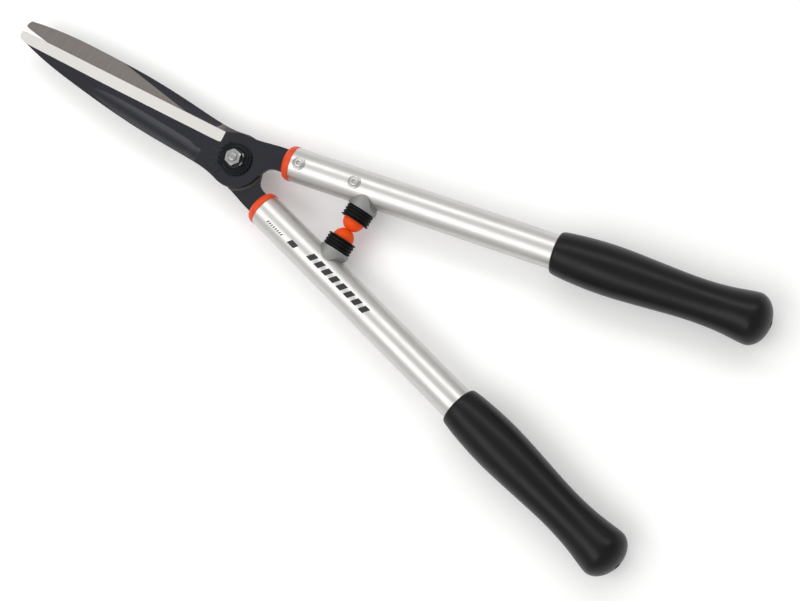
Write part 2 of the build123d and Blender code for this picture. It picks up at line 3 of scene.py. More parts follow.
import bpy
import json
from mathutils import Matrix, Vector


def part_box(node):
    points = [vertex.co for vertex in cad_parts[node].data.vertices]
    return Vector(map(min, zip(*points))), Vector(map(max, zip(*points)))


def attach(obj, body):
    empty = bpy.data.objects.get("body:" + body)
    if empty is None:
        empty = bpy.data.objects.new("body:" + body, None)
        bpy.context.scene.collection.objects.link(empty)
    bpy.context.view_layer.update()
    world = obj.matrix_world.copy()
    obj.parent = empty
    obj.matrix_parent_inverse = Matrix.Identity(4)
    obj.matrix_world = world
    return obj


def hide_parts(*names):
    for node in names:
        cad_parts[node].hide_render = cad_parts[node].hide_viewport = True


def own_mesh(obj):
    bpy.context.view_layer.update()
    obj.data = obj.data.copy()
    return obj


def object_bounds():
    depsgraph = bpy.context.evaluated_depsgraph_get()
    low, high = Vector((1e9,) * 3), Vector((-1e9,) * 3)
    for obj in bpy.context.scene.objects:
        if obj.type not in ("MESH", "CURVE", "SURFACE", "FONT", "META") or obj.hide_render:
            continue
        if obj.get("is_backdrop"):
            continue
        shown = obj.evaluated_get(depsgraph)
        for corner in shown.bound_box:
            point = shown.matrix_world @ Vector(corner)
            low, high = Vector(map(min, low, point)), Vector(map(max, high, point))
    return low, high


bl_info = {
    "name": "Hedge Shears Workbench",
    "version": (1, 0, 0),
    "blender": (4, 5, 0),
    "location": "3D View > Sidebar > Shears",
    "description": "Models and finishes the pieces of a pair of hedge shears round their packed frame",
    "category": "Object",
}

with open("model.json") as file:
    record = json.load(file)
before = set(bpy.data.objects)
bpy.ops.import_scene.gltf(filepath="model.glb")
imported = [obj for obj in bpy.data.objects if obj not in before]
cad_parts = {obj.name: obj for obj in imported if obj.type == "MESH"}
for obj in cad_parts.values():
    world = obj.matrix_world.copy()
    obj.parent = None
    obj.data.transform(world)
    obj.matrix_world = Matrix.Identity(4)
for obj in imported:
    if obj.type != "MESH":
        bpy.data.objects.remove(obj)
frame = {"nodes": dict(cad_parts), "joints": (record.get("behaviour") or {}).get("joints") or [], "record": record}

import json
from math import cos, pi, radians, sin, tau

import bpy
from bpy.props import FloatProperty, FloatVectorProperty, IntProperty, PointerProperty
from mathutils import Matrix, Vector

HALVES = ("upper", "lower")
MM = 0.001
UP = Vector((0, 0, 1))

# Where the blade's surfaces change, in a half's own directions from the pivot (metres).
HEEL = (22 * MM, -16.1 * MM, 0)      # inner corner of the cutting edge
EDGE_LEAN = radians(4.8)             # how far the edge runs in towards the tip
BEVEL_WIDTH = 11.4 * MM
FACE_GAP = 0.2 * MM                  # from the pivot's level to the inner face
BLADE_HEIGHT = (4.2 * MM, 2.8 * MM)  # height of the outer face at the start and the end of its taper
TAPER = (60 * MM, 244.6 * MM)
HOLLOW_LINE = 22 * MM                # middle of the hollow in the inner face
HOLLOW_WIDTH = 12.9 * MM             # half its width where it is widest
HOLLOW = (30 * MM, 155 * MM)         # its start and end
HOLLOW_ROUND = 15 * MM
PAD_RADIUS = 26.55 * MM              # ground pad round the pivot
TUBE_RADIUS = 15 * MM
SCREW_HEAD_HEIGHT = 3.2 * MM
SCREW_HEAD_RADIUS = 5.4 * MM
SHANK_RADIUS = 3.0 * MM

joints = {joint["name"]: joint for joint in frame["joints"]}
mounts = {mount["name"]: mount for mount in frame["record"]["mounts"]}
PIVOT = Vector(joints["pivot"]["pos_m"])

# Where the camera looks, and where the softboxes hang and point.
VIEW_AIM = PIVOT + Vector((-0.1913, 0.0275, 0))
LIGHT_AIM = Vector((-0.1, 0, 0))
KEY_PLACE = Vector((0.35, -1.0, 1.4))
FILL_PLACE = Vector((0.3, 0.95, 1.45))


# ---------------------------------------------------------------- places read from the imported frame


def outward(half):
    """Direction out of a half's outer face."""
    return UP if half == "upper" else -UP


def handle_line(half):
    """(foot, direction) of a handle's axis: stations along it start at the foot, level with the pivot."""
    mount = mounts[f"{half}_hang_hole"]
    along = Vector(mount["axis"])
    hole = Vector(mount["pos_m"])
    return hole + along * (PIVOT - hole).dot(along), along


def buffer_line(half):
    """(foot, direction) of a buffer's axis: from the shears' centre line out to the handle."""
    low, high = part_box(f"{half}_ball")
    away = Vector(joints[f"{half}_buffer_press"]["axis"])
    return Vector(((low.x + high.x) / 2, 0, (low.z + high.z) / 2)), away


def reach(node, foot, along):
    """(nearest, farthest, greatest radius) of a node along and about a line."""
    near, far, girth = 1e9, -1e9, 0
    for vertex in frame["nodes"][node].data.vertices:
        offset = vertex.co - foot
        distance = offset.dot(along)
        near, far = min(near, distance), max(far, distance)
        girth = max(girth, (offset - along * distance).length)
    return near, far, girth


# ---------------------------------------------------------------- the workbench: modelling by operators


def select_only(*pieces):
    """Deselect everything, then select these pieces, the first of them active."""
    if bpy.context.object and bpy.context.object.mode != "OBJECT":
        bpy.ops.object.mode_set(mode="OBJECT")
    bpy.ops.object.select_all(action="DESELECT")
    for piece in pieces:
        piece.select_set(True)
    if pieces:
        bpy.context.view_layer.objects.active = pieces[0]


def apply_modifier(piece, kind, **settings):
    """Add a modifier to a piece and apply it."""
    select_only(piece)
    bpy.ops.object.modifier_add(type=kind)
    modifier = piece.modifiers[-1]
    for key, value in settings.items():
        setattr(modifier, key, value)
    bpy.ops.object.modifier_apply(modifier=modifier.name)


def settle(piece, name, body, slot, material, *nodes, smooth=35):
    """Name a finished piece, set its place into its mesh, and tie it to the frame."""
    select_only(piece)
    bpy.ops.object.transform_apply(location=True, rotation=True, scale=True)
    bpy.ops.object.shade_smooth_by_angle(angle=radians(smooth))
    piece.name = name
    piece.data.name = name
    piece.data.materials.clear()
    piece.data.materials.append(material)
    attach(piece, body)
    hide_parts(*nodes)
    return piece


def soften(profile, size):
    """The same profile with each sharp corner split in two, this far before and after it."""
    points = [Vector(point) for point in profile]
    eased = [points[0]]
    for before, corner, after in zip(points, points[1:], points[2:]):
        back, ahead = before - corner, after - corner
        if back.length and ahead.length and back.angle(ahead) < radians(150):
            eased.append(corner + back.normalized() * min(size, back.length * 0.4))
            eased.append(corner + ahead.normalized() * min(size, ahead.length * 0.4))
        else:
            eased.append(corner)
    return eased + [points[-1]]


def turn(foot, along, profile, sides, levels=2):
    """Turn a closed shell about a line: extrude and scale a ring from each (distance, radius) to the next.

    A profile that comes back to its start is joined there, and one that doesn't is capped at both ends.
    """
    full = 3 / (2 + cos(tau / sides))    # subdivision draws a ring in by this much
    select_only()
    station, radius = profile[0]
    bpy.ops.mesh.primitive_circle_add(
        vertices=sides,
        radius=radius * full,
        location=foot + along * station,
        rotation=along.to_track_quat("Z", "Y").to_euler(),
    )
    bpy.ops.object.mode_set(mode="EDIT")
    bpy.ops.mesh.select_all(action="SELECT")
    for (here, size), (there, next_size) in zip(profile, profile[1:]):
        bpy.ops.mesh.extrude_edges_move(TRANSFORM_OT_translate={"value": along * (there - here)})
        ratio = next_size / size
        bpy.ops.transform.resize(value=(ratio, ratio, ratio), center_override=foot + along * there)
    bpy.ops.mesh.select_all(action="SELECT")
    bpy.ops.mesh.remove_doubles(threshold=1e-6)
    bpy.ops.mesh.fill_holes(sides=0)
    bpy.ops.mesh.normals_make_consistent(inside=False)
    bpy.ops.object.mode_set(mode="OBJECT")
    piece = bpy.context.object
    if levels:
        apply_modifier(piece, "SUBSURF", levels=levels, render_levels=levels)
    return piece


# ---------------------------------------------------------------- the paint shop: finishes made of nodes


class Finish:
    """A material being mixed, with short ways to add to its nodes."""

    def __init__(self, name, **constants):
        self.material = bpy.data.materials.new(name)
        self.material.use_nodes = True
        self.tree = self.material.node_tree
        self.shader = self.tree.nodes["Principled BSDF"]
        for socket, value in constants.items():
            self.shader.inputs[socket.replace("_", " ")].default_value = value
        self.place = self.node("ShaderNodeTexCoord").outputs["Object"]

    def node(self, kind, inputs=None, **settings):
        made = self.tree.nodes.new(kind)
        for key, value in settings.items():
            setattr(made, key, value)
        for key, value in (inputs or {}).items():
            if isinstance(value, bpy.types.NodeSocket):
                self.tree.links.new(value, made.inputs[key])
            else:
                made.inputs[key].default_value = value
        return made

    def math(self, operation, *values, clamp=False):
        wires = dict(enumerate(values))
        return self.node("ShaderNodeMath", wires, operation=operation, use_clamp=clamp).outputs[0]

    def mapped(self, vector, kind="POINT", **sockets):
        wires = {"Vector": vector}
        wires.update({key.title(): value for key, value in sockets.items()})
        return self.node("ShaderNodeMapping", wires, vector_type=kind).outputs[0]

    def noise(self, vector, scale, detail=3.0, warp=0.0):
        wires = {"Vector": vector, "Scale": scale, "Detail": detail, "Distortion": warp}
        return self.node("ShaderNodeTexNoise", wires).outputs[0]

    def spread(self, value, low, high, start=0.3, end=0.7):
        """Stretch a value from start..end to low..high."""
        wires = {0: value, 1: start, 2: end, 3: low, 4: high}
        return self.node("ShaderNodeMapRange", wires, clamp=True).outputs[0]

    def blend(self, factor, first, second):
        made = self.node("ShaderNodeMix", data_type="RGBA")
        for socket, value in ((0, factor), (6, first), (7, second)):
            if isinstance(value, bpy.types.NodeSocket):
                self.tree.links.new(value, made.inputs[socket])
            else:
                made.inputs[socket].default_value = value if socket == 0 else (*value[:3], 1)
        return made.outputs[2]

    def above(self, value, limit, soft=0.02 * MM):
        """1 where the value is over the limit, with a soft step."""
        return self.spread(value, 0, 1, limit - soft, limit + soft)

    def below(self, value, limit, soft=0.02 * MM):
        return self.spread(value, 1, 0, limit - soft, limit + soft)

    def all_of(self, *masks):
        result = masks[0]
        for mask in masks[1:]:
            result = self.math("MULTIPLY", result, mask)
        return result

    def worn_edges(self, radius):
        """(rounded normal, mask that is 1 on sharp outer corners)."""
        rounded = self.node("ShaderNodeBevel", {"Radius": radius}, samples=4).outputs[0]
        flat = self.node("ShaderNodeNewGeometry").outputs["Normal"]
        facing = self.node("ShaderNodeVectorMath", {0: rounded, 1: flat}, operation="DOT_PRODUCT")
        match = facing.outputs["Value"]
        return rounded, self.spread(match, 1, 0, 0.86, 0.995)

    def relief(self, height, depth, normal=None):
        """Bump the surface by a height of 0 to 1 over this depth."""
        wires = {"Height": height, "Strength": 1.0, "Distance": depth}
        if normal is not None:
            wires["Normal"] = normal
        return self.node("ShaderNodeBump", wires).outputs[0]

    def wire(self, **sockets):
        for socket, value in sockets.items():
            self.tree.links.new(value, self.shader.inputs[socket.replace("_", " ")])
        return self.material


def deeper(colour, share):
    """The same colour at a share of its lightness."""
    return tuple(channel * share for channel in colour[:3])


def plain_finish(name, colour, rough, grain, depth, metal=0.0, patch=90, variation=0.8, edge=None,
                 edge_radius=0.35 * MM, stretch=(1, 1, 1), **constants):
    """A finish of one colour: cloudy variation, a fine grain in its roughness and relief, and worn edges."""
    mix = Finish(name, Metallic=metal, **constants)
    place = mix.mapped(mix.place, scale=stretch)
    cloud = mix.noise(mix.place, patch, 4)
    fine = mix.noise(place, grain, 4)
    base = mix.blend(mix.spread(cloud, 0, 1), deeper(colour, variation), colour)
    polish = mix.math("ADD", mix.spread(fine, rough[0], rough[1]), mix.spread(cloud, -0.03, 0.03))
    normal, worn = mix.worn_edges(edge_radius)
    if edge is not None:
        worn = mix.math("MULTIPLY", worn, mix.spread(mix.noise(mix.place, 700, 3), 0.0, 1.0, 0.35, 0.6))
        base = mix.blend(worn, base, edge)
    return mix.wire(Base_Color=base, Roughness=polish, Normal=mix.relief(fine, depth, normal))


# ---------------------------------------------------------------- sizes and colours a user would change


class SHEARS_PG_grip(bpy.types.PropertyGroup):
    lip: FloatProperty(
        name="Lip", description="Radius of the grip just behind its front edge",
        default=18.6 * MM, unit="LENGTH",
    )
    swell: FloatProperty(
        name="Swell", description="Radius of the grip where the palm lies",
        default=21.7 * MM, unit="LENGTH",
    )
    waist: FloatProperty(
        name="Waist", description="Radius of the grip at its waist",
        default=18.1 * MM, unit="LENGTH",
    )
    sides: IntProperty(name="Sides", description="Sides of the grip's control ring", default=48, min=12)
    colour: FloatVectorProperty(
        name="Rubber", description="Colour of the grip",
        default=(0.0012, 0.0013, 0.0026), subtype="COLOR",
    )


class SHEARS_PG_buffer(bpy.types.PropertyGroup):
    rib: FloatProperty(
        name="Rib height", description="How far a rib of the cup stands out",
        default=1.2 * MM, unit="LENGTH",
    )
    ribs: IntProperty(name="Ribs", description="Ribs between the cup's lip and the boss", default=3, min=1)
    ball_colour: FloatVectorProperty(
        name="Ball", description="Colour of the buffer balls",
        default=(0.84, 0.078, 0.006), subtype="COLOR",
    )
    cup_colour: FloatVectorProperty(
        name="Cup", description="Colour of the buffer cups",
        default=(0.003, 0.003, 0.0035), subtype="COLOR",
    )


class SHEARS_PG_screw(bpy.types.PropertyGroup):
    flange: FloatProperty(
        name="Flange", description="Thickness of a screw's flange",
        default=1.0 * MM, unit="LENGTH",
    )
    dome: FloatProperty(
        name="Dome", description="Radius of a screw's domed head",
        default=4.2 * MM, unit="LENGTH",
    )
    recess: FloatProperty(
        name="Recess", description="Radius of the driving recess",
        default=2.4 * MM, unit="LENGTH",
    )
    depth: FloatProperty(
        name="Recess depth", description="Depth of the driving recess",
        default=1.9 * MM, unit="LENGTH",
    )


class SHEARS_PG_metal(bpy.types.PropertyGroup):
    tube: FloatVectorProperty(
        name="Tube", description="Colour of the anodised tubes",
        default=(0.62, 0.61, 0.595), subtype="COLOR",
    )
    lacquer: FloatVectorProperty(
        name="Lacquer", description="Colour of the blades' lacquer",
        default=(0.003, 0.0037, 0.010), subtype="COLOR",
    )
    ground: FloatVectorProperty(
        name="Ground steel", description="Colour of the blades' inner faces",
        default=(0.198, 0.180, 0.170), subtype="COLOR",
    )
    bevel: FloatVectorProperty(
        name="Bevel", description="Colour of the freshly ground bevels",
        default=(0.54, 0.525, 0.505), subtype="COLOR",
    )
    orange: FloatVectorProperty(
        name="Collar", description="Colour of the collars",
        default=(0.74, 0.066, 0.011), subtype="COLOR",
    )
    cast: FloatVectorProperty(
        name="Casting", description="Colour of the cast bosses",
        default=(0.31, 0.31, 0.30), subtype="COLOR",
    )
    zinc: FloatVectorProperty(
        name="Zinc", description="Colour of the plated fasteners",
        default=(0.62, 0.62, 0.60), subtype="COLOR",
    )
    cover: FloatVectorProperty(
        name="Cover", description="Colour of the pivot's cover",
        default=(0.0015, 0.004, 0.007), subtype="COLOR",
    )


class SHEARS_PG_stage(bpy.types.PropertyGroup):
    lens: FloatProperty(
        name="Lens", description="Focal length on a 36 mm sensor",
        default=103.35, subtype="DISTANCE_CAMERA",
    )
    azimuth: FloatProperty(
        name="Azimuth", description="Camera's direction round the shears",
        default=radians(-96.9), subtype="ANGLE",
    )
    elevation: FloatProperty(
        name="Elevation", description="Camera's height above the horizon",
        default=radians(73.5), subtype="ANGLE",
    )
    roll: FloatProperty(
        name="Roll", description="Camera's turn about its own axis",
        default=radians(-50.66), subtype="ANGLE",
    )
    distance: FloatProperty(
        name="Distance", description="Camera to the point it looks at",
        default=1.931, unit="LENGTH",
    )
    room: FloatProperty(name="Room", description="Strength of the room's even light", default=0.7)
    key: FloatProperty(
        name="Key", description="Power of the softbox on the right",
        default=10.0, unit="POWER",
    )
    fill: FloatProperty(
        name="Fill", description="Power of the softbox on the left",
        default=13.0, unit="POWER",
    )


def sizes(group):
    return getattr(bpy.context.scene, f"shears_{group}")


# ---------------------------------------------------------------- the pieces


class SHEARS_OT_grips(bpy.types.Operator):
    """Turn the two rubber grips, each with its rolled lip, swell, waist, bulb and hanging hole"""

    bl_idname = "shears.grips"
    bl_label = "Grips"

    def execute(self, context):
        size = sizes("grip")
        rubber = plain_finish("Grip rubber", size.colour, (0.31, 0.38), 2600, 0.012 * MM, patch=40,
                              variation=0.7, Specular_IOR_Level=0.24)
        for half in HALVES:
            foot, along = handle_line(half)
            front, end, bulb = reach(f"{half}_grip", foot, along)
            back = end - 16.5 * MM
            _, _, tube = reach(f"{half}_tube", foot, along)
            bottom = end - 16 * MM
            hole = mounts[f"{half}_hang_hole"]["dims"]["r_mm"] * MM
            inner = tube + 0.05 * MM
            profile = [
                (front, inner),
                (front, size.lip - 2.6 * MM),
                (front + 0.35 * MM, size.lip - 1.4 * MM),
                (front + 1.4 * MM, size.lip - 0.5 * MM),
                (front + 3.2 * MM, size.lip),
                (front + 10 * MM, size.lip + 1.0 * MM),
                (front + 20 * MM, size.swell - 1.2 * MM),
                (front + 36 * MM, size.swell - 0.2 * MM),
                (front + 52 * MM, size.swell),
                (front + 70 * MM, size.swell - 0.85 * MM),
                (front + 89 * MM, size.swell - 1.95 * MM),
                (front + 106 * MM, size.waist + 0.6 * MM),
                (front + 121 * MM, size.waist),
                (front + 136 * MM, size.waist + 0.3 * MM),
                (front + 150 * MM, size.waist + 1.25 * MM),
                (front + 162 * MM, bulb - 1.25 * MM),
            ]
            for step in range(9):
                turned = radians(10.4 * step)
                profile.append((back + (end - back) * sin(turned), bulb * cos(turned)))
            profile += [
                (end - 0.1 * MM, hole + 0.9 * MM),
                (end - 0.5 * MM, hole),
                (end - 1.5 * MM, hole),
                (bottom + 0.3 * MM, hole),
                (bottom, hole + 0.3 * MM),
                (bottom, inner - 0.4 * MM),
                (bottom - 0.4 * MM, inner),
                (front + 1.0 * MM, inner),
                (front, inner),
            ]
            piece = turn(foot, along, profile, size.sides)
            name = f"{half}_grip_rubber"
            settle(piece, name, f"{half}_half", "grip_rubber", rubber, f"{half}_grip", smooth=60)
        return {"FINISHED"}


class SHEARS_OT_buffers(bpy.types.Operator):
    """Turn the ribbed cups, the sprung balls and the pads behind them"""

    bl_idname = "shears.buffers"
    bl_label = "Buffers"

    def execute(self, context):
        size = sizes("buffer")
        orange = plain_finish("Ball polymer", size.ball_colour, (0.34, 0.42), 1500, 0.012 * MM, patch=120,
                              variation=0.86, Specular_IOR_Level=0.14)
        black = plain_finish("Cup rubber", size.cup_colour, (0.4, 0.6), 2400, 0.03 * MM, patch=160,
                             variation=0.6, Specular_IOR_Level=0.16)
        pad_rubber = plain_finish("Pad rubber", (0.03, 0.03, 0.03), (0.55, 0.7), 1800, 0.04 * MM, patch=200)
        for half in HALVES:
            foot, away = buffer_line(half)
            self.ball(half, foot, away, orange)
            self.cup(half, foot, away, size, black)
            self.pad(half, foot, away, pad_rubber)
        return {"FINISHED"}

    def ball(self, half, foot, away, material):
        face, back, radius = reach(f"{half}_ball", foot, away)
        centre = face + radius * 0.9
        first = radians(26)
        profile = [(face, 0.8 * MM), (face, radius * sin(first) - 0.3 * MM)]
        for step in range(8):
            lean = first + (pi / 2 - first) * step / 7
            profile.append((centre - radius * cos(lean), radius * sin(lean)))
        profile += [(back - 0.3 * MM, radius), (back, radius - 0.3 * MM), (back, 0.8 * MM)]
        piece = turn(foot, away, profile, 40)
        name = f"{half}_ball_dome"
        settle(piece, name, f"{half}_buffer", "orange_buffer", material, f"{half}_ball", smooth=60)

    def cup(self, half, foot, away, size, material):
        lip, back, radius = reach(f"{half}_cup", foot, away)
        _, _, ball = reach(f"{half}_ball", foot, away)
        boss, _, _ = reach(f"{half}_boss", foot, away)
        bore = ball + 0.3 * MM
        valley = radius - 0.4 * MM - size.rib
        first = lip + 1.9 * MM
        pitch = (boss - 0.5 * MM - first) / size.ribs
        profile = [(lip, bore), (lip, radius - 0.5 * MM), (lip + 0.25 * MM, radius), (lip + 0.9 * MM, radius),
                   (lip + 1.2 * MM, radius - 0.5 * MM), (first, valley)]
        for rib in range(size.ribs):
            start = first + pitch * rib
            shoulder = valley + size.rib * 0.9
            profile += [(start + pitch * 0.25, shoulder), (start + pitch * 0.5, valley + size.rib),
                        (start + pitch * 0.8, shoulder), (start + pitch, valley)]
        spigot = valley - 0.6 * MM
        profile += [(boss, valley), (boss, spigot), (back, spigot), (back, bore), (lip, bore)]
        piece = turn(foot, away, soften(profile, 0.18 * MM), 48)
        name = f"{half}_cup_ribbed"
        settle(piece, name, f"{half}_half", "ribbed_rubber", material, f"{half}_cup", smooth=50)

    def pad(self, half, foot, away, material):
        near, far, radius = reach(f"{half}_pad", foot, away)
        middle = (near + far) / 2
        waist = radius - 0.5 * MM
        profile = [(near, 1.2 * MM), (near, waist), (near + 0.8 * MM, radius), (middle, waist),
                   (far - 0.8 * MM, radius), (far, waist), (far, 1.2 * MM)]
        piece = turn(foot, away, profile, 32)
        settle(piece, f"{half}_pad_rubber", f"{half}_half", "pad_rubber", material, f"{half}_pad", smooth=60)
        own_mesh(piece)


class SHEARS_OT_tang_screws(bpy.types.Operator):
    """Turn one domed screw with a star recess, and set four of them in the tubes"""

    bl_idname = "shears.tang_screws"
    bl_label = "Tang screws"

    def execute(self, context):
        size = sizes("screw")
        zinc = zinc_finish("Screw zinc")
        for half in HALVES:
            foot, along = handle_line(half)
            node = f"{half}_tang_screws"
            first, last, _ = reach(node, foot, along)
            bottom, top, _ = reach(node, foot, outward(half))
            pair = []
            for station in (first + SCREW_HEAD_RADIUS, last - SCREW_HEAD_RADIUS):
                pair.append(self.screw(foot + along * station, outward(half), bottom, top, size))
            select_only(*pair)
            bpy.ops.object.join()
            settle(pair[0], f"{half}_tang_screws_domed", f"{half}_half", "zinc_steel", zinc, node)
        return {"FINISHED"}

    def screw(self, foot, out, bottom, top, size):
        seat = top - SCREW_HEAD_HEIGHT
        head = SCREW_HEAD_RADIUS
        rim = seat + size.flange
        profile = [
            (bottom, 0.8 * MM),
            (bottom, SHANK_RADIUS - 0.4 * MM),
            (bottom + 0.5 * MM, SHANK_RADIUS),
            (seat, SHANK_RADIUS),
            (seat, head),
            (rim - 0.35 * MM, head),
            (rim, head - 0.35 * MM),
            (rim - 0.1 * MM, size.dome + 0.35 * MM),
            (rim - 0.25 * MM, size.dome),
            (rim + 0.7 * MM, size.dome - 0.05 * MM),
            (top - 0.75 * MM, size.dome - 0.45 * MM),
            (top - 0.2 * MM, size.dome - 1.2 * MM),
            (top, size.recess + 0.2 * MM),
            (top, 0.8 * MM),
        ]
        piece = turn(foot, out, soften(profile, 0.12 * MM), 32)
        self.cut_star(piece, foot + out * (top - size.depth), out, size)
        return piece

    def cut_star(self, piece, bottom, out, size):
        """Cut a six-pointed driving recess down into a screw's head."""
        select_only()
        bpy.ops.mesh.primitive_circle_add(
            vertices=24,
            radius=size.recess,
            fill_type="NGON",
            location=bottom,
            rotation=out.to_track_quat("Z", "Y").to_euler(),
        )
        cutter = bpy.context.object
        for index, vertex in enumerate(cutter.data.vertices):
            vertex.select = index % 4 in (0, 1)
        for part in (*cutter.data.edges, *cutter.data.polygons):
            part.select = False
        bpy.ops.object.mode_set(mode="EDIT")
        bpy.context.tool_settings.mesh_select_mode = (True, False, False)
        bpy.ops.transform.resize(value=(0.72, 0.72, 0.72), center_override=bottom)
        bpy.ops.mesh.select_all(action="SELECT")
        bpy.ops.mesh.extrude_region_move(TRANSFORM_OT_translate={"value": out * size.depth * 2})
        bpy.ops.mesh.select_all(action="SELECT")
        bpy.ops.mesh.normals_make_consistent(inside=False)
        bpy.ops.object.mode_set(mode="OBJECT")
        apply_modifier(piece, "BOOLEAN", operation="DIFFERENCE", solver="EXACT", object=cutter)
        select_only(cutter)
        bpy.ops.object.delete()


# ---------------------------------------------------------------- finishes for nodes that keep their shape


def zinc_finish(name, share=1.0):
    """Bright zinc plate with a faint yellow and blue passivation and fine rubs."""
    metal = sizes("metal")
    mix = Finish(name, Metallic=1.0)
    cloud = mix.noise(mix.place, 260, 4)
    yellow, blue = deeper((0.60, 0.58, 0.50), share), deeper((0.56, 0.60, 0.63), share)
    tint = mix.blend(mix.spread(mix.noise(mix.place, 420, 2), 0, 1), yellow, blue)
    base = mix.blend(mix.spread(cloud, 0.0, 0.55), deeper(metal.zinc, share), tint)
    rubs = mix.noise(mix.mapped(mix.place, rotation=(0.3, 0.5, 0.9), scale=(1, 14, 3)), 900, 4)
    normal, worn = mix.worn_edges(0.25 * MM)
    base = mix.blend(mix.math("MULTIPLY", worn, 0.6), base, (0.8, 0.8, 0.78))
    return mix.wire(
        Base_Color=base,
        Roughness=mix.math("ADD", mix.spread(rubs, 0.17, 0.34), mix.spread(cloud, -0.03, 0.05)),
        Normal=mix.relief(rubs, 0.008 * MM, normal),
    )


def washer_finish():
    """Blackened spring washer, rubbed bright where its tabs stand against the nut."""
    mix = Finish("Lock washer")
    base_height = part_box("lock_washer")[0][2]
    height = mix.node("ShaderNodeSeparateXYZ", {0: mix.place}).outputs[2]
    fine = mix.noise(mix.place, 1400, 4)
    tabs = mix.above(height, base_height + 1.6 * MM, 0.5 * MM)
    tabs = mix.math("MULTIPLY", tabs, mix.spread(mix.noise(mix.place, 600, 3), 0.6, 1.0, 0.35, 0.6))
    normal, worn = mix.worn_edges(0.3 * MM)
    bright = mix.math("MAXIMUM", tabs, mix.math("MULTIPLY", worn, 0.25))
    return mix.wire(
        Base_Color=mix.blend(bright, (0.012, 0.013, 0.016), (0.46, 0.46, 0.44)),
        Metallic=bright,
        Roughness=mix.spread(fine, 0.28, 0.4),
        Normal=mix.relief(fine, 0.01 * MM, normal),
    )


def tube_finish(half):
    """Satin anodised tube with a drawn grain along it, and plain printed bars on the lower one."""
    metal = sizes("metal")
    mix = Finish(f"Anodised {half} tube", Metallic=1.0)
    foot, along = handle_line(half)
    turned = along.to_track_quat("X", "Z").to_euler()
    tube = mix.mapped(mix.place, "TEXTURE", location=foot, rotation=turned)
    drawn = mix.noise(mix.mapped(tube, scale=(0.03, 1, 1)), 3200, 4)
    streak = mix.noise(mix.mapped(tube, scale=(0.08, 1, 1)), 420, 3)
    cloud = mix.noise(mix.place, 60, 4)
    normal, worn = mix.worn_edges(0.3 * MM)
    base = mix.blend(mix.spread(streak, 0, 1), deeper(metal.tube, 0.93), metal.tube)
    base = mix.blend(mix.spread(cloud, 0, 0.35), base, deeper(metal.tube, 0.9))
    base = mix.blend(mix.math("MULTIPLY", worn, 0.5), base, (0.85, 0.84, 0.82))
    polish = mix.math("ADD", mix.spread(drawn, 0.34, 0.43), mix.spread(cloud, -0.02, 0.03))
    sockets = {}
    if half == "lower":
        ink = printed_bars(mix, tube)
        base = mix.blend(ink, base, (0.012, 0.012, 0.013))
        polish = mix.math("ADD", polish, mix.math("MULTIPLY", ink, 0.12))
        sockets["Metallic"] = mix.math("SUBTRACT", 1.0, ink)
    sockets["Normal"] = mix.relief(drawn, 0.006 * MM, normal)
    return mix.wire(Base_Color=base, Roughness=polish, **sockets)


def printed_bars(mix, tube):
    """Ink mask of slanted bars along the tube's upper side, in place of lettering."""
    split = mix.node("ShaderNodeSeparateXYZ", {0: tube}).outputs
    across = mix.math("MULTIPLY", mix.math("ARCTAN2", split[1], split[2]), TUBE_RADIUS)
    lean = mix.math("SUBTRACT", split[0], mix.math("MULTIPLY", across, 0.5))
    bars = []
    for start, end, low, high, pitch, share in (
        (66, 84, -5.4, -3.2, 2.4, 0.5),
        (92, 100, -5.6, -0.6, 16, 1.0),
        (112, 186, -2.4, 4.4, 9.25, 0.62),
    ):
        phase = mix.math("FRACT", mix.math("DIVIDE", mix.math("SUBTRACT", lean, start * MM), pitch * MM))
        bars.append(mix.all_of(
            mix.above(lean, start * MM), mix.below(lean, end * MM),
            mix.above(across, low * MM), mix.below(across, high * MM),
            mix.below(phase, share, 0.01),
        ))
    return mix.math("MAXIMUM", mix.math("MAXIMUM", bars[0], bars[1]), bars[2])


